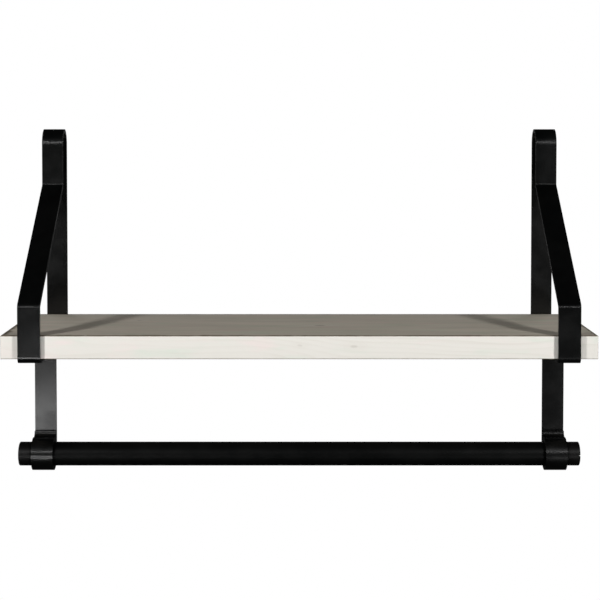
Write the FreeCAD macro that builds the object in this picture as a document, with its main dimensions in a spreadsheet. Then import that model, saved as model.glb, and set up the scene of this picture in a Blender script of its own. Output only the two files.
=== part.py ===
import FreeCAD, Part
import os

import Sketcher

# Wall shelf: a wooden board carried in two bent flat-steel brackets, with a round towel bar
# below it in the rolled eyes of two hangers.
#
# Axes: +X along the shelf, the wall is the plane Y = 0, the shelf stands out towards -Y, +Z is up.
# The origin is the centre of the four wall-screw holes, on the wall.
# Each body is drawn with Z = 0 at the board's top face, and its Placement lowers it into place.

# Driving dimensions in millimetres: alias, value, meaning.
DIMENSIONS = (
    ("board_length", 610, "board, along X"),
    ("board_depth", 190, "board, from the wall straps to its front face"),
    ("board_thickness", 24, "board"),
    ("board_edge", 0.8, "chamfer that breaks the board's edges"),
    ("strap_width", 23, "flat steel of the brackets and the hangers"),
    ("strap_thickness", 4, "the same"),
    ("bracket_spacing", 550, "between the centres of the two brackets"),
    ("bracket_rise", 210, "top of the bracket above the board's top"),
    ("hook_depth", 34, "outside of the U-bend at the top, wall to front"),
    ("flap_rise", 148, "foot of the front flap above the board's top"),
    ("lip_rise", 32, "top of the front lip above the board's top"),
    ("lip_gap", 2, "between the board's front face and the lip"),
    ("bracket_tail", 49, "foot of the wall strap below the board's top"),
    ("bend_radius", 2.5, "inside of every sharp bend in the brackets"),
    ("weld_radius", 2.5, "weld where the bottom strap meets the wall strap"),
    ("hook_flat", 0.2, "flat left between the two quarters of the U-bend"),
    ("wall_hole_rise", 130, "upper wall hole above the board's top"),
    ("wall_hole_drop", 40, "lower wall hole below the board's top"),
    ("wall_hole_diameter", 5, "four holes"),
    ("hanger_setback", 88, "wall to the back of the hanger strap"),
    ("flange_length", 50, "hanger flange under the bottom strap"),
    ("flange_bend", 3, "inside of the flange's bend"),
    ("bar_drop", 139, "axis of the bar below the board's top"),
    ("bar_length", 602, "over the end plugs"),
    ("bar_diameter", 25.4, "tube and plug heads"),
    ("tube_wall", 1.2, "tube"),
    ("eye_clearance", 0.75, "between the bar and the eye, on the radius"),
    ("eye_tail_rise", 22.5, "free end of the rolled eye above the bar's axis"),
    ("eye_tail_gap", 0.3, "between the free end and the hanger strap"),
    ("eye_neck_radius", 5, "hollow bend where the eye turns up into its free end"),
    ("plug_head", 12, "length of a plug outside the tube"),
    ("plug_shank", 16, "length of a plug inside the tube"),
    ("plug_clearance", 0.05, "between the shank and the tube, on the radius"),
    ("plug_edge", 1.2, "round on the plug's outer edge"),
    ("slot_width", 1.6, "slot across a plug's end face"),
    ("slot_depth", 2, "the same"),
    ("screw_rear", 110, "wall to the rear board screw"),
    ("screw_middle", 127, "wall to the middle board screw"),
    ("screw_front", 168, "wall to the front board screw"),
    ("screw_length", 20, "under the head"),
    ("screw_diameter", 3.9, "shank"),
    ("screw_tip", 4, "length of the pointed end"),
    ("screw_head_diameter", 8, "pan head"),
    ("screw_head_height", 2.4, "pan head"),
    ("recess_width", 4.2, "cross recess, tip to tip"),
    ("recess_blade", 0.9, "cross recess, across one arm"),
    ("recess_depth", 1.5, "cross recess"),
    ("screw_hole_diameter", 4.5, "holes in the straps and the flanges"),
    ("pilot_diameter", 4, "pilot holes in the board"),
)

doc = FreeCAD.newDocument("WallShelf")
sheet = doc.addObject("Spreadsheet::Sheet", "Dims")
for row, (alias, value, meaning) in enumerate(DIMENSIONS, start=1):
    sheet.set("A%d" % row, alias)
    sheet.set("B%d" % row, str(value))
    sheet.set("C%d" % row, meaning)
    sheet.setAlias("B%d" % row, alias)
doc.recompute()

SIDES = (("left", "-1"), ("right", "1"))
BOARD_TOP = "-(Dims.wall_hole_rise - Dims.wall_hole_drop) / 2"
LIP_FACE = "(Dims.board_depth + Dims.lip_gap + 2 * Dims.strap_thickness)"
RUN = "(%s - Dims.hook_depth)" % LIP_FACE
DROP = "(Dims.flap_rise - Dims.lip_rise)"
# How much lower the diagonal's underside turns than its top face, where it bends.
MITRE = "(Dims.strap_thickness * (sqrt(%s ^ 2 + %s ^ 2) - %s) / %s)" % (RUN, DROP, DROP, RUN)
EYE_INNER = "(Dims.bar_diameter / 2 + Dims.eye_clearance)"
EYE_OUTER = "(%s + Dims.strap_thickness)" % EYE_INNER
BAR_DEPTH = "(Dims.hanger_setback + Dims.strap_thickness + %s)" % EYE_INNER
TUBE_LENGTH = "(Dims.bar_length - 2 * Dims.plug_head)"
STRAP_FOOT = "(Dims.board_thickness + Dims.strap_thickness)"


def size(expression):
    """The value of an expression in the sheet's aliases, in millimetres."""
    value = sheet.evalExpression(expression)
    return float(getattr(value, "Value", value))


# ---- helpers for bodies and sketches -------------------------------------------------------

def new_body(label, side="0", depth="0", height=BOARD_TOP):
    """A body whose drawing origin stands at the side's bracket, on the wall, at board level."""
    body = doc.addObject("PartDesign::Body", label)
    body.Label = label
    body.setExpression("Placement.Base.x", "%s * Dims.bracket_spacing / 2" % side)
    body.setExpression("Placement.Base.y", depth)
    body.setExpression("Placement.Base.z", height)
    return body


def new_sketch(body, name, plane, offset="0"):
    """A sketch on one of the body's own origin planes, moved along the plane's normal."""
    sketch = body.newObject("Sketcher::SketchObject", name)
    origin_plane = [item for item in body.Origin.OriginFeatures if item.Role == plane]
    sketch.AttachmentSupport = (origin_plane[0], [""])
    sketch.MapMode = "FlatFace"
    sketch.setExpression("AttachmentOffset.Base.z", offset)
    return sketch


def locate(sketch, geometry, point, across, up):
    """Ties a point of the sketch to the origin by two distances bound to the sheet."""
    for kind, expression in (("DistanceX", across), ("DistanceY", up)):
        constraint = Sketcher.Constraint(kind, -1, 1, geometry, point, size(expression))
        index = sketch.addConstraint(constraint)
        sketch.setExpression("Constraints[%d]" % index, expression)


def add_outline(sketch, corners):
    """A closed outline of straight lines through corners, each a pair of expressions."""
    points = [FreeCAD.Vector(size(across), size(up), 0) for across, up in corners]
    first = None
    for number, point in enumerate(points):
        following = points[(number + 1) % len(points)]
        line = sketch.addGeometry(Part.LineSegment(point, following), False)
        first = line if first is None else first
        if line > first:
            sketch.addConstraint(Sketcher.Constraint("Coincident", line - 1, 2, line, 1))
    sketch.addConstraint(Sketcher.Constraint("Coincident", line, 2, first, 1))
    for number, (across, up) in enumerate(corners):
        locate(sketch, first + number, 1, across, up)


def add_circle(sketch, radius, across="0", up="0"):
    centre = FreeCAD.Vector(size(across), size(up), 0)
    normal = FreeCAD.Vector(0, 0, 1)
    circle = sketch.addGeometry(Part.Circle(centre, normal, size(radius)), False)
    locate(sketch, circle, 3, across, up)
    index = sketch.addConstraint(Sketcher.Constraint("Radius", circle, size(radius)))
    sketch.setExpression("Constraints[%d]" % index, radius)


def add_pad(body, sketch, length, midplane=True, reverse=False):
    pad = body.newObject("PartDesign::Pad", sketch.Name + "Pad")
    pad.Profile = sketch
    pad.setExpression("Length", length)
    pad.SideType = "Symmetric" if midplane else "One side"
    pad.Reversed = reverse
    doc.recompute()
    return pad


def add_pocket(body, sketch, length):
    """Cuts the sketch's shapes out, half the length to each side of its plane."""
    before = body.Shape.Volume
    pocket = body.newObject("PartDesign::Pocket", sketch.Name + "Pocket")
    pocket.Profile = sketch
    pocket.setExpression("Length", length)
    pocket.SideType = "Symmetric"
    doc.recompute()
    if not body.Shape.Volume < before - 0.01:
        raise RuntimeError("nothing was cut by " + pocket.Name)
    return pocket


def round_edges(body, feature, name, corners, radius):
    """Rounds the edges along X that pass through corners, each a pair (depth, height)."""
    chosen = []
    for number, edge in enumerate(feature.Shape.Edges, start=1):
        ends = [vertex.Point for vertex in edge.Vertexes]
        for depth, height in corners:
            corner = FreeCAD.Vector(0, size(depth), size(height))
            if all(FreeCAD.Vector(0, end.y, end.z).distanceToPoint(corner) < 0.01 for end in ends):
                chosen.append("Edge%d" % number)
    if len(chosen) != len(corners):
        raise RuntimeError("%s finds %d of %d edges" % (name, len(chosen), len(corners)))
    fillet = body.newObject("PartDesign::Fillet", name)
    fillet.Base = (feature, chosen)
    fillet.setExpression("Radius", radius)
    doc.recompute()
    return fillet


# ---- the shelf board -----------------------------------------------------------------------

def make_board():
    body = new_body("shelf_board")
    back = "-Dims.strap_thickness"
    front = "-(Dims.strap_thickness + Dims.board_depth)"
    half = "Dims.board_length / 2"
    sketch = new_sketch(body, "BoardPlan", "XY_Plane", "-Dims.board_thickness")
    add_outline(sketch, (("-" + half, front), (half, front), (half, back), ("-" + half, back)))
    pad = add_pad(body, sketch, "Dims.board_thickness", midplane=False)
    chamfer = body.newObject("PartDesign::Chamfer", "BoardEdges")
    chamfer.Base = (pad, ["Edge%d" % (n + 1) for n in range(len(pad.Shape.Edges))])
    chamfer.setExpression("Size", "Dims.board_edge")
    doc.recompute()
    # Pilot holes for the screws, as deep as each screw reaches and a millimetre more.
    for name, depths, covers in (("Rear", ("rear", "middle"), 2), ("Front", ("front",), 1)):
        pilots = new_sketch(body, "Pilots" + name, "XY_Plane", "-Dims.board_thickness")
        for _, side in SIDES:
            across = "%s * Dims.bracket_spacing / 2" % side
            for depth in depths:
                add_circle(pilots, "Dims.pilot_diameter / 2", across, "-Dims.screw_" + depth)
        reach = "2 * (Dims.screw_length - %d * Dims.strap_thickness + 1)" % covers
        add_pocket(body, pilots, reach)
    return body


# ---- the brackets --------------------------------------------------------------------------

def make_bracket(name, side):
    """One flat strap: up the wall, over in a U-bend, down the flap, out along the diagonal,
    down the lip and back under the board, where its end is welded to the wall strap."""
    body = new_body(name + "_bracket_strap", side)
    thick = "Dims.strap_thickness"
    outline = new_sketch(body, name + "StrapOutline", "YZ_Plane")
    outer = (
        ("0", "-Dims.bracket_tail"),
        ("0", "Dims.bracket_rise"),
        ("-Dims.hook_depth", "Dims.bracket_rise"),
        ("-Dims.hook_depth", "Dims.flap_rise"),
        ("-" + LIP_FACE, "Dims.lip_rise"),
        ("-" + LIP_FACE, "-" + STRAP_FOOT),
        ("-" + thick, "-" + STRAP_FOOT),
        ("-" + thick, "-Dims.bracket_tail"),
    )
    inner = (
        ("-" + thick, "-Dims.board_thickness"),
        ("-" + thick, "Dims.bracket_rise - " + thick),
        ("-Dims.hook_depth + " + thick, "Dims.bracket_rise - " + thick),
        ("-Dims.hook_depth + " + thick, "Dims.flap_rise - " + MITRE),
        ("-%s + %s" % (LIP_FACE, thick), "Dims.lip_rise - " + MITRE),
        ("-%s + %s" % (LIP_FACE, thick), "-Dims.board_thickness"),
    )
    add_outline(outline, outer)
    add_outline(outline, inner)
    shape = add_pad(body, outline, "Dims.strap_width")
    # Every bend is round inside, and larger by the strap's thickness outside.
    hook = "(Dims.hook_depth - Dims.hook_flat) / 2"
    outside = "Dims.bend_radius + " + thick
    shape = round_edges(body, shape, name + "HookOuter", outer[1:3], hook)
    shape = round_edges(body, shape, name + "HookInner", inner[1:3], hook + " - " + thick)
    bends_inside = (outer[3], inner[4], inner[5])
    bends_outside = (inner[3], outer[4], outer[5])
    shape = round_edges(body, shape, name + "BendsInside", bends_inside, "Dims.bend_radius")
    shape = round_edges(body, shape, name + "BendsOutside", bends_outside, outside)
    shape = round_edges(body, shape, name + "Weld", (outer[6],), "Dims.weld_radius")
    # Two holes for wall screws, one below the flap and one below the board.
    wall_holes = new_sketch(body, name + "WallHoles", "XZ_Plane")
    for height in ("Dims.wall_hole_rise", "-Dims.wall_hole_drop"):
        add_circle(wall_holes, "Dims.wall_hole_diameter / 2", "0", height)
    add_pocket(body, wall_holes, "4 * " + thick)
    # Three holes for board screws through the bottom strap.
    level = "-(Dims.board_thickness + %s / 2)" % thick
    board_holes = new_sketch(body, name + "BoardHoles", "XY_Plane", level)
    for depth in ("rear", "middle", "front"):
        add_circle(board_holes, "Dims.screw_hole_diameter / 2", "0", "-Dims.screw_" + depth)
    add_pocket(body, board_holes, "2 * " + thick)
    return body


# ---- the bar hangers -----------------------------------------------------------------------

def make_hanger(name, side):
    """One flat strap: a flange under the bottom strap, a drop behind the bar and an eye rolled
    forwards round the bar, whose free end turns up against the drop."""
    body = new_body(name + "_bar_hanger", side)
    thick = "Dims.strap_thickness"
    back = "-Dims.hanger_setback"
    face = "-(Dims.hanger_setback + %s)" % thick
    end = "-(Dims.hanger_setback + Dims.flange_length)"
    axis = "-Dims.bar_drop"
    outline = new_sketch(body, name + "HangerOutline", "YZ_Plane")
    corners = (
        (back, "-" + STRAP_FOOT),
        (end, "-" + STRAP_FOOT),
        (end, "-(%s + %s)" % (STRAP_FOOT, thick)),
        (face, "-(%s + %s)" % (STRAP_FOOT, thick)),
        (face, axis),
        (back, axis),
    )
    add_outline(outline, corners)
    shape = add_pad(body, outline, "Dims.strap_width")
    outside = "Dims.flange_bend + " + thick
    shape = round_edges(body, shape, name + "FlangeInside", (corners[3],), "Dims.flange_bend")
    shape = round_edges(body, shape, name + "FlangeOutside", (corners[0],), outside)
    # The free end stands just in front of the drop and joins the eye below.
    tail = new_sketch(body, name + "EyeTail", "YZ_Plane")
    tail_back = "%s - Dims.eye_tail_gap" % face
    tail_face = "%s - %s" % (tail_back, thick)
    top = "%s + Dims.eye_tail_rise" % axis
    foot = "%s + %s - %s / 2" % (axis, EYE_INNER, thick)
    add_outline(tail, ((tail_back, foot), (tail_back, top), (tail_face, top), (tail_face, foot)))
    add_pad(body, tail, "Dims.strap_width")
    ring = new_sketch(body, name + "EyeRing", "YZ_Plane")
    add_circle(ring, EYE_OUTER, "-" + BAR_DEPTH, axis)
    shape = add_pad(body, ring, "Dims.strap_width")
    neck = "%s + sqrt(%s ^ 2 - (%s + %s) ^ 2)" % (axis, EYE_OUTER, BAR_DEPTH, tail_face)
    round_edges(body, shape, name + "EyeNeck", ((tail_face, neck),), "Dims.eye_neck_radius")
    opening = new_sketch(body, name + "EyeOpening", "YZ_Plane")
    add_circle(opening, EYE_INNER, "-" + BAR_DEPTH, axis)
    add_pocket(body, opening, "2 * Dims.strap_width")
    level = "-(%s + %s / 2)" % (STRAP_FOOT, thick)
    holes = new_sketch(body, name + "FlangeHoles", "XY_Plane", level)
    for depth in ("rear", "middle"):
        add_circle(holes, "Dims.screw_hole_diameter / 2", "0", "-Dims.screw_" + depth)
    add_pocket(body, holes, "2 * " + thick)
    return body


# ---- the towel bar -------------------------------------------------------------------------

def bar_body(label):
    """A body drawn about the bar's own axis."""
    return new_body(label, "0", "-" + BAR_DEPTH, "%s - Dims.bar_drop" % BOARD_TOP)


def make_tube():
    body = bar_body("towel_bar_tube")
    section = new_sketch(body, "TubeSection", "YZ_Plane")
    add_circle(section, "Dims.bar_diameter / 2")
    add_circle(section, "Dims.bar_diameter / 2 - Dims.tube_wall")
    add_pad(body, section, TUBE_LENGTH)
    return body


def make_plug(name, side, turn):
    """A plug with a head flush with the tube, a shank inside it and a slot across its face."""
    body = bar_body(name + "_bar_plug")
    body.Placement.Rotation = FreeCAD.Rotation(FreeCAD.Vector(1, 0, 0), turn)
    tube_end = "%s * %s / 2" % (side, TUBE_LENGTH)
    outwards = side == "1"
    head = new_sketch(body, name + "PlugHead", "YZ_Plane", tube_end)
    add_circle(head, "Dims.bar_diameter / 2")
    solid = add_pad(body, head, "Dims.plug_head", midplane=False, reverse=not outwards)
    rim = size("%s * Dims.bar_length / 2" % side)
    edges = []
    for number, edge in enumerate(solid.Shape.Edges, start=1):
        if all(abs(vertex.X - rim) < 0.01 for vertex in edge.Vertexes):
            edges.append("Edge%d" % number)
    round_rim = body.newObject("PartDesign::Fillet", name + "PlugRim")
    round_rim.Base = (solid, edges)
    round_rim.setExpression("Radius", "Dims.plug_edge")
    doc.recompute()
    shank = new_sketch(body, name + "PlugShank", "YZ_Plane", tube_end)
    add_circle(shank, "Dims.bar_diameter / 2 - Dims.tube_wall - Dims.plug_clearance")
    add_pad(body, shank, "Dims.plug_shank", midplane=False, reverse=outwards)
    slot = new_sketch(body, name + "PlugSlot", "YZ_Plane", "%s * Dims.bar_length / 2" % side)
    half = "Dims.slot_width / 2"
    reach = "Dims.bar_diameter"
    low, high = "-" + half, half
    left_end, right_end = "-" + reach, reach
    add_outline(slot, ((left_end, low), (right_end, low), (right_end, high), (left_end, high)))
    add_pocket(body, slot, "2 * Dims.slot_depth")
    return body


# ---- the board screws ----------------------------------------------------------------------

def add_primitive(kind, name, bindings):
    primitive = doc.addObject("Part::" + kind, name)
    for target, expression in bindings.items():
        primitive.setExpression(target, expression)
    return primitive


def make_screw(name, side, depth, under_head):
    """A pan-head wood screw pointing up, its head against the underside at under_head."""
    here = {
        "Placement.Base.x": "%s * Dims.bracket_spacing / 2" % side,
        "Placement.Base.y": "-Dims.screw_" + depth,
    }
    bottom = "%s - Dims.screw_head_height" % under_head
    head = add_primitive("Cylinder", name + "Head", dict(here, **{
        "Radius": "Dims.screw_head_diameter / 2",
        "Height": "Dims.screw_head_height",
        "Placement.Base.z": bottom,
    }))
    shank = add_primitive("Cylinder", name + "Shank", dict(here, **{
        "Radius": "Dims.screw_diameter / 2",
        "Height": "Dims.screw_length - Dims.screw_tip",
        "Placement.Base.z": under_head,
    }))
    tip = add_primitive("Cone", name + "Tip", dict(here, **{
        "Radius1": "Dims.screw_diameter / 2",
        "Radius2": "Dims.screw_diameter / 20",
        "Height": "Dims.screw_tip",
        "Placement.Base.z": "%s + Dims.screw_length - Dims.screw_tip" % under_head,
    }))
    doc.recompute()
    pan = doc.addObject("Part::Fillet", name + "Pan")
    pan.Base = head
    rim = [n for n, edge in enumerate(head.Shape.Edges, start=1)
           if edge.BoundBox.ZMax < head.Shape.BoundBox.ZMin + 0.01]
    dome = size("Dims.screw_head_height / 2")
    pan.Edges = [(n, dome, dome) for n in rim]
    blank = doc.addObject("Part::MultiFuse", name + "Blank")
    blank.Shapes = [pan, shank, tip]
    arms = []
    for axis, across, along in (("X", "x", "y"), ("Y", "y", "x")):
        centre = dict(here)
        long_side = "Length" if axis == "X" else "Width"
        short_side = "Width" if axis == "X" else "Length"
        centre["Placement.Base." + across] += " - Dims.recess_width / 2"
        centre["Placement.Base." + along] += " - Dims.recess_blade / 2"
        centre["Placement.Base.z"] = bottom
        centre[long_side] = "Dims.recess_width"
        centre[short_side] = "Dims.recess_blade"
        centre["Height"] = "Dims.recess_depth"
        arms.append(add_primitive("Box", name + "Arm" + axis, centre))
    recess = doc.addObject("Part::MultiFuse", name + "Recess")
    recess.Shapes = arms
    screw = doc.addObject("Part::Cut", name)
    screw.Base = blank
    screw.Tool = recess
    return screw


def make_screws(name, side):
    """The three identical screws of one bracket: two through the hanger's flange as well."""
    on_flange = "%s - (%s + Dims.strap_thickness)" % (BOARD_TOP, STRAP_FOOT)
    on_strap = "%s - %s" % (BOARD_TOP, STRAP_FOOT)
    screws = []
    for depth, under_head in (("rear", on_flange), ("middle", on_flange), ("front", on_strap)):
        screws.append(make_screw(name + depth.title() + "Screw", side, depth, under_head))
    group = doc.addObject("Part::Compound", name + "_board_screws")
    group.Label = name + "_board_screws"
    group.Links = screws
    return group


PLUG_TURNS = {"left": 33, "right": 0}

nodes = [make_board(), make_tube()]
for side_name, side_sign in SIDES:
    nodes.append(make_bracket(side_name, side_sign))
    nodes.append(make_hanger(side_name, side_sign))
    nodes.append(make_plug(side_name, side_sign, PLUG_TURNS[side_name]))
    nodes.append(make_screws(side_name, side_sign))
doc.recompute()

# ---- checks and export ---------------------------------------------------------------------

for item in doc.Objects:
    if "Invalid" in item.State or "Error" in item.State:
        raise RuntimeError("%s failed: %s" % (item.Name, item.State))

os.makedirs("parts", exist_ok=True)
for node in nodes:
    if node.Shape.isNull() or not node.Shape.isValid():
        raise RuntimeError("bad shape: " + node.Label)
    node.Shape.exportStep(os.path.join("parts", node.Label + ".step"))
    box = node.Shape.BoundBox
    print("%-22s solids %d  volume %9.1f  size %6.1f x %6.1f x %6.1f" % (
        node.Label, len(node.Shape.Solids), node.Shape.Volume, box.XLength, box.YLength, box.ZLength))
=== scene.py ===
"""The looks of the wall shelf: a whitewashed board in two black steel brackets, with a towel bar.

Everything is in metres in the part's own frame: +X along the shelf, the wall is the plane Y = 0,
the room is towards -Y, +Z is up.
"""
import math

import bmesh
import bpy
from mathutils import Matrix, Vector, noise


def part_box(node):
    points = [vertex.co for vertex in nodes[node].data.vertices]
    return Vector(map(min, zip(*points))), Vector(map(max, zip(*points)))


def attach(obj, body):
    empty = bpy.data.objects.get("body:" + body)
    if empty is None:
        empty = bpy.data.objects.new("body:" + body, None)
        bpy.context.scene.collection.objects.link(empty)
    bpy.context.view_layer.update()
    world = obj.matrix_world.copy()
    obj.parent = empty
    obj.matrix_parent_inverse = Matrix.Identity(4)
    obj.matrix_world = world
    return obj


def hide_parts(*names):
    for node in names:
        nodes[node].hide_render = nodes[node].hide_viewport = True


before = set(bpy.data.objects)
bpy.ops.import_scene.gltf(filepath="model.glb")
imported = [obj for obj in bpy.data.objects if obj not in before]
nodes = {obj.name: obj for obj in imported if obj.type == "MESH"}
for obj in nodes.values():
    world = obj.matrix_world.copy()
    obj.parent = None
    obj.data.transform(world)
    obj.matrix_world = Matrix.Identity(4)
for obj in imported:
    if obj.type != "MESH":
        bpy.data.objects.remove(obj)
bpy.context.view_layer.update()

MM = 0.001
STEEL_EDGE = 0.7 * MM        # the rolled edge of the flat steel
BOARD_EDGE = 0.6 * MM        # the sanded edge of the board
BOARD_STEP = 3 * MM          # between two cross-sections of the board
RING_WIDTH = 4.6 * MM        # one year's growth in the wood
CORNER_STEPS = 5             # faces round each long edge of the board
EDGE_STEPS = 4               # cross-sections from each end face to the full section
FLOOR_DROP = 2.3             # from the board down to the floor
FLOOR_HALF = 2.0             # half the side of the square floor
SIDES = ("left", "right")

# Name, degrees right of straight ahead, degrees up, distance and size in metres, power in watts.
LIGHTS = (("left_softbox", -39.3, 21.8, 1.69, (0.13, 0.155), 11.5),
          ("right_softbox", 38.4, 21.8, 1.69, (0.13, 0.155), 11.3),
          ("left_lamp", -15.5, 20, 3.0, (0.20, 0.20), 2.2),
          ("right_lamp", 15.5, 20, 3.0, (0.20, 0.20), 1.3),
          ("low_left_card", -21.7, -15.0, 1.28, (0.22, 0.13), 0.75),
          ("low_left_wide", -38, -24, 2.0, (0.22, 0.22), 5.9),
          ("low_left_lamp", -17, -25.3, 2.13, (0.16, 0.12), 1.3),
          ("low_right_card", 34, -21, 2.0, (0.24, 0.20), 7.6),
          ("left_side_card", -98, -2, 3.0, (1.5, 1.5), 9),
          ("right_side_card", 98, -2, 3.0, (1.5, 1.5), 9),
          ("back_left_card", -145, 8, 3.5, (1.6, 1.6), 20),
          ("back_right_card", 145, 8, 3.5, (1.6, 1.6), 20))

board_low, board_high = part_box("shelf_board")
board_size = board_high - board_low
board_centre = (board_low + board_high) / 2


# ---- node helpers --------------------------------------------------------------------------

class Nodes:
    """Builds one material's node tree: each call adds a node and returns its main output."""

    def __init__(self, name):
        self.material = bpy.data.materials.new(name)
        self.material.use_nodes = True
        self.tree = self.material.node_tree
        self.shader = self.tree.nodes["Principled BSDF"]
        self.texcoord = self.tree.nodes.new("ShaderNodeTexCoord")

    def plug(self, socket, value):
        if isinstance(value, bpy.types.NodeSocket):
            self.tree.links.new(value, socket)
        else:
            socket.default_value = value

    def position(self, scale=(1, 1, 1), offset=(0, 0, 0)):
        """The point's place in the frame, in metres, stretched and moved."""
        mapping = self.tree.nodes.new("ShaderNodeMapping")
        self.plug(mapping.inputs["Vector"], self.texcoord.outputs["Object"])
        mapping.inputs["Scale"].default_value = scale
        mapping.inputs["Location"].default_value = offset
        return mapping.outputs["Vector"]

    def noise(self, vector, scale, detail=3.0, roughness=0.5, distortion=0.0):
        node = self.tree.nodes.new("ShaderNodeTexNoise")
        self.plug(node.inputs["Vector"], vector)
        node.inputs["Scale"].default_value = scale
        node.inputs["Detail"].default_value = detail
        node.inputs["Roughness"].default_value = roughness
        node.inputs["Distortion"].default_value = distortion
        return node.outputs["Fac"]

    def math(self, operation, first, second=0.0, clamp=False):
        node = self.tree.nodes.new("ShaderNodeMath")
        node.operation = operation
        node.use_clamp = clamp
        self.plug(node.inputs[0], first)
        self.plug(node.inputs[1], second)
        return node.outputs["Value"]

    def split(self, vector):
        node = self.tree.nodes.new("ShaderNodeSeparateXYZ")
        self.plug(node.inputs["Vector"], vector)
        return node.outputs

    def vector(self, operation, first, second):
        node = self.tree.nodes.new("ShaderNodeVectorMath")
        node.operation = operation
        self.plug(node.inputs[0], first)
        self.plug(node.inputs[1], second)
        return node.outputs["Value" if operation in ("LENGTH", "DOT_PRODUCT") else "Vector"]

    def ramp(self, factor, low, high, low_value=0.0, high_value=1.0):
        """factor from low..high becomes low_value..high_value, smoothly."""
        node = self.tree.nodes.new("ShaderNodeMapRange")
        node.interpolation_type = "SMOOTHSTEP"
        self.plug(node.inputs["Value"], factor)
        node.inputs["From Min"].default_value = low
        node.inputs["From Max"].default_value = high
        node.inputs["To Min"].default_value = low_value
        node.inputs["To Max"].default_value = high_value
        return node.outputs["Result"]

    def mix(self, factor, first, second, blend="MIX"):
        node = self.tree.nodes.new("ShaderNodeMix")
        node.data_type = "RGBA"
        node.blend_type = blend
        self.plug(node.inputs["Factor"], factor)
        for name, value in (("A", first), ("B", second)):
            socket = [s for s in node.inputs if s.name == name and s.type == "RGBA"][0]
            self.plug(socket, value if isinstance(value, bpy.types.NodeSocket) else (*value, 1.0))
        return [s for s in node.outputs if s.type == "RGBA"][0]

    def bump(self, height, strength, distance, normal=None):
        node = self.tree.nodes.new("ShaderNodeBump")
        node.inputs["Strength"].default_value = strength
        node.inputs["Distance"].default_value = distance
        self.plug(node.inputs["Height"], height)
        if normal is not None:
            self.plug(node.inputs["Normal"], normal)
        return node.outputs["Normal"]

    def worn_edge(self, reach, low, high):
        """1 where the surface turns a corner within reach, broken up by patches, 0 on the flats."""
        rounded = self.tree.nodes.new("ShaderNodeBevel")
        rounded.samples = 6
        rounded.inputs["Radius"].default_value = reach
        true = self.tree.nodes.new("ShaderNodeNewGeometry")
        same = self.vector("DOT_PRODUCT", rounded.outputs["Normal"], true.outputs["Normal"])
        corner = self.ramp(same, 0.995, 0.90)
        patches = self.noise(self.position(), 130, detail=5, roughness=0.7)
        return self.math("MULTIPLY", corner, self.ramp(patches, low, high))

    def set(self, **values):
        for name, value in values.items():
            self.plug(self.shader.inputs[name.replace("_", " ")], value)


# ---- materials -----------------------------------------------------------------------------

def whitewashed_wood():
    """Plain-sawn softwood under a thin white wash: growth rings that run along X, faint pink and
    green clouds, pores, a few small knots, painted shade on the top and underside, and edges where the
    wash is rubbed thin."""
    wood = Nodes("whitewashed_wood")
    place = wood.position()
    axes = wood.split(place)
    # Growth rings about a pith line that lies below the board and slopes a little along it.
    drift = wood.noise(wood.position((3, 14, 14)), 1.0, detail=2)
    across = wood.math("ADD", axes["Y"], wood.ramp(drift, 0.0, 1.0, 0.093, 0.143))
    deep = wood.math("ADD", axes["Z"], wood.ramp(axes["X"], -0.35, 0.35, 0.099, 0.131))
    square = wood.math("ADD", wood.math("MULTIPLY", across, across), wood.math("MULTIPLY", deep, deep))
    ring = wood.math("FRACT", wood.math("DIVIDE", wood.math("SQRT", square), RING_WIDTH))
    late = wood.math("MULTIPLY", wood.ramp(ring, 0.35, 0.93), wood.ramp(ring, 0.95, 1.0, 1.0, 0.0))
    fibre = wood.noise(wood.position((14, 900, 900)), 1.0, detail=4, roughness=0.65)
    streak = wood.noise(wood.position((2.2, 120, 120)), 1.0, detail=4, roughness=0.6)
    cloud = wood.noise(wood.position((19, 60, 70)), 1.0, detail=3, roughness=0.55)
    patch = wood.noise(wood.position((15, 50, 60), (3.1, 1.7, 0.4)), 1.0, detail=3)
    white = (0.815, 0.790, 0.735)
    pink = (0.850, 0.775, 0.735)
    green = (0.745, 0.780, 0.700)
    bare = (0.47, 0.41, 0.32)
    colour = wood.mix(wood.ramp(cloud, 0.48, 0.72), white, pink)
    colour = wood.mix(wood.ramp(patch, 0.50, 0.74), colour, green)
    # The wash is thinner on the hard late wood and in streaks along the grain.
    thin = wood.math("MULTIPLY", late, wood.ramp(streak, 0.35, 0.75, 0.03, 0.13))
    thin = wood.math("ADD", thin, wood.ramp(fibre, 0.58, 0.82, 0.0, 0.13))
    thin = wood.math("ADD", thin, wood.ramp(streak, 0.58, 0.80, 0.0, 0.10))
    colour = wood.mix(thin, colour, bare)
    # Painted shade: the top and the underside are painted darker and browner than the edges, most of all
    # towards the front, in uneven blotches.
    flat = wood.math("MINIMUM", wood.math("SUBTRACT", board_high.z, axes["Z"]),
                     wood.math("SUBTRACT", axes["Z"], board_low.z))
    top_and_underside = wood.ramp(flat, 0.9 * MM, 0.1 * MM)
    blotch = wood.noise(wood.position((6, 40, 40), (1.3, 0.2, 0.8)), 1.0, detail=4, roughness=0.6)
    shade_and_blotches = wood.math("ADD", wood.ramp(axes["Y"], board_low.y, board_high.y),
                      wood.ramp(blotch, 0.3, 0.7, -0.35, 0.35))
    shade = wood.mix(shade_and_blotches, (0.665, 0.625, 0.56), (0.815, 0.77, 0.695))
    colour = wood.mix(top_and_underside, colour, shade, "MULTIPLY")
    colour = wood_knots(wood, place, colour)
    colour = wood_edges(wood, axes, colour, top_and_underside)
    height = wood.math("ADD", wood.math("MULTIPLY", fibre, 0.6), wood.math("MULTIPLY", late, 0.4))
    wood.set(Base_Color=colour, Roughness=wood.ramp(fibre, 0.3, 0.8, 0.62, 0.80),
             Normal=wood.bump(height, 0.35, 0.12 * MM))
    wood.shader.inputs["Specular IOR Level"].default_value = 0.25
    return wood.material


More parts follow.
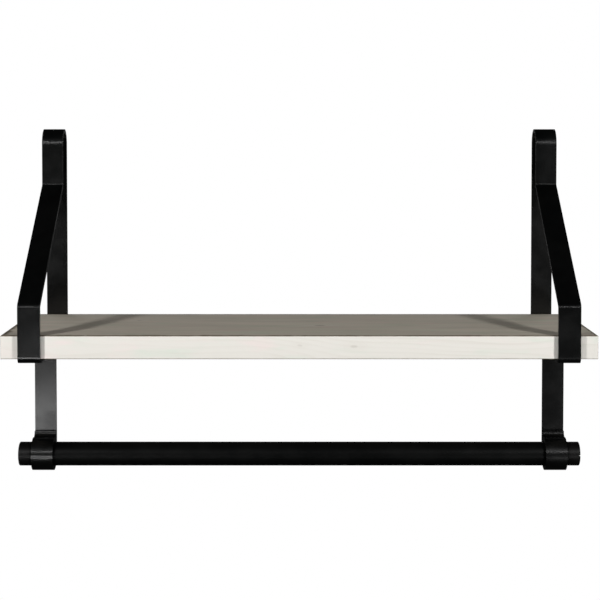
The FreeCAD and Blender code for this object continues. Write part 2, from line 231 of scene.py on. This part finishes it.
# Knots: place along the board, how far from its upper front edge and the radius of the dark heart,
# all in metres, then how dark the heart is.
TOP_KNOTS = ((0.022, 0.085, 0.0038, 0.75), (-0.176, 0.130, 0.0016, 0.75))
FRONT_KNOTS = ((0.056, 0.011, 0.0024, 0.20), (0.001, 0.010, 0.0018, 0.15))


def wood_knots(wood, place, colour):
    """Each knot is a dark heart with a paler, stretched halo along the grain."""
    heart = (0.26, 0.215, 0.17)
    halo = (0.64, 0.60, 0.53)
    spots = []
    for x, depth, size, dark in TOP_KNOTS:
        spots.append((Vector((x, board_low.y + depth, board_high.z)), size, dark))
    for x, drop, size, dark in FRONT_KNOTS:
        spots.append((Vector((x, board_low.y, board_high.z - drop)), size, dark))
    stretch = Vector((0.38, 1.0, 1.0))
    for centre, size, dark in spots:
        offset = wood.vector("MULTIPLY", wood.vector("SUBTRACT", place, centre), stretch)
        wobble = wood.noise(wood.position((160, 300, 300)), 1.0, detail=2)
        away = wood.vector("LENGTH", offset, (0, 0, 0))
        away = wood.math("ADD", away, wood.math("MULTIPLY", wood.math("SUBTRACT", wobble, 0.5), size))
        colour = wood.mix(wood.ramp(away, size * 0.9, size * 3.2, dark * 0.6, 0.0), colour, halo)
        colour = wood.mix(wood.ramp(away, size * 0.2, size * 0.85, dark, 0.0), colour, heart)
    return colour


def wood_edges(wood, axes, colour, top_and_underside):
    """Along every edge of the board the wash is rubbed through in an uneven thin line. It reaches
    further in over the top and the underside, most of all towards the board's left end."""
    gaps = []
    for axis, low, high in zip("XYZ", board_low, board_high):
        below = wood.math("SUBTRACT", axes[axis], low)
        above = wood.math("SUBTRACT", high, axes[axis])
        gaps.append(wood.math("MINIMUM", below, above))
    # The middle one of the three distances to the faces is the distance to the nearest edge.
    x, y, z = gaps
    lowest_pair = wood.math("MAXIMUM", wood.math("MINIMUM", x, y), wood.math("MINIMUM", y, z))
    near = wood.math("MAXIMUM", lowest_pair, wood.math("MINIMUM", x, z))
    uneven = wood.noise(wood.position((60, 60, 60)), 1.0, detail=5, roughness=0.7)
    reach = wood.ramp(uneven, 0.30, 0.72, 0.3 * MM, 0.8 * MM)
    over = wood.math("MULTIPLY", top_and_underside, wood.ramp(axes["X"], -0.30, 0.28, 7.5 * MM, 5.0 * MM))
    ragged = wood.noise(wood.position((45, 45, 45)), 1.0, detail=4, roughness=0.6)
    over = wood.math("MULTIPLY", over, wood.ramp(ragged, 0.32, 0.68, 0.35, 1.3))
    reach = wood.math("ADD", reach, over)
    rub = wood.math("SUBTRACT", 1.0, wood.math("DIVIDE", near, reach), clamp=True)
    rub = wood.math("MULTIPLY", rub, wood.ramp(top_and_underside, 0.0, 1.0, 0.75, 1.5), clamp=True)
    return wood.mix(rub, colour, (0.17, 0.14, 0.10))


def powder_coat(name, roughness, specular, grain):
    """Satin black powder coat: a fine orange peel, with faint rubbed and dusty patches."""
    coat = Nodes(name)
    peel = coat.noise(coat.position(), grain, detail=2, roughness=0.45)
    fine = coat.noise(coat.position(), grain * 3.4, detail=1)
    patch = coat.noise(coat.position((1, 1, 1), (0.3, 0.1, 0.7)), 28, detail=3, roughness=0.6)
    colour = coat.mix(coat.ramp(patch, 0.35, 0.75), (0.0010, 0.0012, 0.0012), (0.0022, 0.0024, 0.0023))
    height = coat.math("ADD", peel, coat.math("MULTIPLY", fine, 0.35))
    wear = coat.worn_edge(0.9 * MM, 0.42, 0.68)
    colour = coat.mix(wear, colour, (0.010, 0.010, 0.0095))
    dust = coat.ramp(patch, 0.3, 0.75, roughness - 0.03, roughness + 0.04)
    coat.set(Base_Color=colour, Roughness=coat.math("ADD", dust, coat.math("MULTIPLY", wear, 0.03)),
             Normal=coat.bump(height, 0.07, 0.05 * MM))
    coat.shader.inputs["Specular IOR Level"].default_value = specular
    return coat.material


def moulded_plastic():
    """Matte black-brown plastic of the bar plugs, with a fine moulded grain."""
    plastic = Nodes("moulded_plastic")
    grain = plastic.noise(plastic.position(), 2600, detail=2)
    patch = plastic.noise(plastic.position(), 90, detail=3)
    colour = plastic.mix(plastic.ramp(patch, 0.3, 0.7), (0.0026, 0.0023, 0.0023), (0.0042, 0.0038, 0.0037))
    plastic.set(Base_Color=colour, Roughness=plastic.ramp(grain, 0.3, 0.7, 0.34, 0.42),
                Normal=plastic.bump(grain, 0.25, 0.03 * MM))
    plastic.shader.inputs["Specular IOR Level"].default_value = 0.17
    return plastic.material


def black_oxide():
    """The board screws: blackened steel with rubbed bright specks."""
    steel = Nodes("black_oxide")
    speck = steel.noise(steel.position(), 1800, detail=3, roughness=0.6)
    colour = steel.mix(steel.ramp(speck, 0.62, 0.78), (0.030, 0.030, 0.032), (0.16, 0.15, 0.145))
    steel.set(Base_Color=colour, Metallic=0.9, Roughness=steel.ramp(speck, 0.35, 0.75, 0.34, 0.50),
              Normal=steel.bump(speck, 0.15, 0.02 * MM))
    return steel.material


def pale_floor():
    """Evenly bright from edge to edge, like the backdrop."""
    floor = Nodes("pale_floor")
    speck = floor.noise(floor.position(), 40, detail=4)
    pale = floor.mix(speck, (0.97, 0.97, 0.965), (1.0, 1.0, 1.0))
    floor.set(Base_Color=(0.02, 0.02, 0.02, 1.0), Roughness=0.85, Emission_Color=pale)
    floor.shader.inputs["Emission Strength"].default_value = 1.0
    return floor.material


# ---- carried-over CAD nodes ----------------------------------------------------------------

def ease_edges(thing, width):
    """A small even round on every sharp edge, shaded smoothly."""
    bevel = thing.modifiers.new("eased_edges", "BEVEL")
    bevel.width = width
    bevel.segments = 3
    bevel.limit_method = "ANGLE"
    bevel.angle_limit = math.radians(40)
    bevel.use_clamp_overlap = True
    bevel.harden_normals = True


def dress(name, material, edge=None):
    """Gives a node its material and, where edge is given, rolled edges that wide."""
    thing = nodes[name]
    for slot in thing.material_slots:
        slot.material = material
    if edge:
        ease_edges(thing, edge)


# ---- the board -----------------------------------------------------------------------------

def wander(place):
    """A smooth uneven value from about 0 to 1."""
    return 0.5 + 0.5 * noise.fractal(place, 0.6, 2.1, 3)


def board_ring(x, inset):
    """One cross-section of the board: a rectangle with unevenly sanded corners, at x."""
    half_y = board_size.y / 2 - inset
    half_z = board_size.z / 2 - inset
    ring = []
    for corner, (side_y, side_z) in enumerate(((-1, -1), (1, -1), (1, 1), (-1, 1))):
        # Slow changes in the sanding along each edge, and a few small knocks.
        radius = BOARD_EDGE * (0.6 + 0.4 * wander(Vector((x * 30, corner * 7.3, 0))))
        radius += 0.9 * MM * max(0.0, wander(Vector((x * 150, corner * 3.1, 4))) - 0.75)
        centre = (side_y * (half_y - radius), side_z * (half_z - radius))
        start = math.atan2(side_z, side_y) - math.pi / 4
        for step in range(CORNER_STEPS + 1):
            turn = start + step * math.pi / 2 / CORNER_STEPS
            ring.append((x, board_centre.y + centre[0] + radius * math.cos(turn),
                         board_centre.z + centre[1] + radius * math.sin(turn)))
    return ring


def make_board():
    """The board swept along X, ring by ring, with its two sawn ends eased like its long edges."""
    half = board_size.x / 2
    ends = []
    for step in range(EDGE_STEPS):
        turn = step * math.pi / 2 / EDGE_STEPS
        ends.append((half - BOARD_EDGE * (1 - math.cos(turn)), BOARD_EDGE * (1 - math.sin(turn))))
    rows = [(-x, inset) for x, inset in ends]
    count = round(2 * (half - BOARD_EDGE) / BOARD_STEP)
    rows += [(-half + BOARD_EDGE + i * 2 * (half - BOARD_EDGE) / count, 0.0) for i in range(count + 1)]
    rows += list(reversed(ends))
    shape = bmesh.new()
    rings = [[shape.verts.new(point) for point in board_ring(x, inset)] for x, inset in rows]
    for first, second in zip(rings, rings[1:]):
        for i in range(len(first)):
            j = (i + 1) % len(first)
            shape.faces.new((first[i], first[j], second[j], second[i]))
    shape.faces.new(list(reversed(rings[0])))
    shape.faces.new(rings[-1])
    bmesh.ops.recalc_face_normals(shape, faces=shape.faces)
    for face in shape.faces:
        face.smooth = len(face.verts) == 4
    mesh = bpy.data.meshes.new("whitewashed_board")
    shape.to_mesh(mesh)
    shape.free()
    board = bpy.data.objects.new("whitewashed_board", mesh)
    bpy.context.scene.collection.objects.link(board)
    mesh.materials.append(whitewashed_wood())
    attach(board, "shelf")
    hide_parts("shelf_board")


# ---- camera, lights and floor --------------------------------------------------------------

def aim(thing, place, target):
    """Stands a light or a camera at place, looking at target."""
    thing.location = place
    thing.rotation_mode = "QUATERNION"
    thing.rotation_quaternion = (target - place).to_track_quat("-Z", "Y")


def add_camera():
    """Straight in front of the shelf, level with the tops of its brackets, with the frame shifted
    down to the shelf as the photographer did."""
    data = bpy.data.cameras.new("camera")
    data.sensor_width = 36
    data.lens = 97.25
    data.shift_y = -0.183
    camera = bpy.data.objects.new("camera", data)
    bpy.context.scene.collection.objects.link(camera)
    tilt = math.radians(-2.3)
    camera.location = (0.0008, -1.839, 0.1696)
    camera.rotation_euler = (math.pi / 2 + tilt, 0, 0)
    bpy.context.scene.camera = camera


def add_light(name, azimuth, elevation, distance, size, power):
    """A soft box turned to the board, azimuth degrees right of straight ahead and elevation above."""
    turn, rise = math.radians(azimuth), math.radians(elevation)
    away = Vector((math.sin(turn) * math.cos(rise), -math.cos(turn) * math.cos(rise), math.sin(rise)))
    data = bpy.data.lights.new(name, "AREA")
    data.shape = "RECTANGLE"
    data.size, data.size_y = size
    data.energy = power
    light = bpy.data.objects.new(name, data)
    bpy.context.scene.collection.objects.link(light)
    aim(light, board_centre + away * distance, board_centre)
    light.visible_camera = False


def add_world():
    """A white backdrop that gives the shelf itself only a little light, as in a dark studio."""
    world = bpy.data.worlds.new("studio")
    bpy.context.scene.world = world
    world.use_nodes = True
    tree = world.node_tree
    seen = tree.nodes["Background"]
    seen.inputs["Color"].default_value = (1, 1, 1, 1)
    seen.inputs["Strength"].default_value = 1.0
    given = tree.nodes.new("ShaderNodeBackground")
    given.inputs["Color"].default_value = (1, 1, 1, 1)
    given.inputs["Strength"].default_value = 0.012
    path = tree.nodes.new("ShaderNodeLightPath")
    choose = tree.nodes.new("ShaderNodeMixShader")
    tree.links.new(path.outputs["Is Camera Ray"], choose.inputs["Fac"])
    tree.links.new(given.outputs["Background"], choose.inputs[1])
    tree.links.new(seen.outputs["Background"], choose.inputs[2])
    tree.links.new(choose.outputs["Shader"], tree.nodes["World Output"].inputs["Surface"])


def add_floor():
    """A plain floor far below, which neither lights the shelf nor shows in its steel."""
    mesh = bpy.data.meshes.new("floor")
    shape = bmesh.new()
    bmesh.ops.create_grid(shape, x_segments=8, y_segments=8, size=FLOOR_HALF)
    shape.to_mesh(mesh)
    shape.free()
    floor = bpy.data.objects.new("floor", mesh)
    bpy.context.scene.collection.objects.link(floor)
    floor.location = (0, 0, board_low.z - FLOOR_DROP)
    mesh.materials.append(pale_floor())
    floor.visible_diffuse = False
    floor.visible_glossy = False


bpy.context.scene.view_settings.view_transform = "Standard"
add_camera()
add_world()
add_floor()
for name, azimuth, elevation, distance, size, power in LIGHTS:
    add_light(name, azimuth, elevation, distance, size, power)

steel = powder_coat("black_powder_coat", 0.235, 0.5, 1200)
tube_coat = powder_coat("black_tube_coat", 0.40, 0.10, 1500)
plastic = moulded_plastic()
screw_steel = black_oxide()
make_board()
dress("towel_bar_tube", tube_coat)
for side in SIDES:
    dress(side + "_bracket_strap", steel, STEEL_EDGE)
    dress(side + "_bar_hanger", steel, STEEL_EDGE)
    dress(side + "_bar_plug", plastic)
    dress(side + "_board_screws", screw_steel)
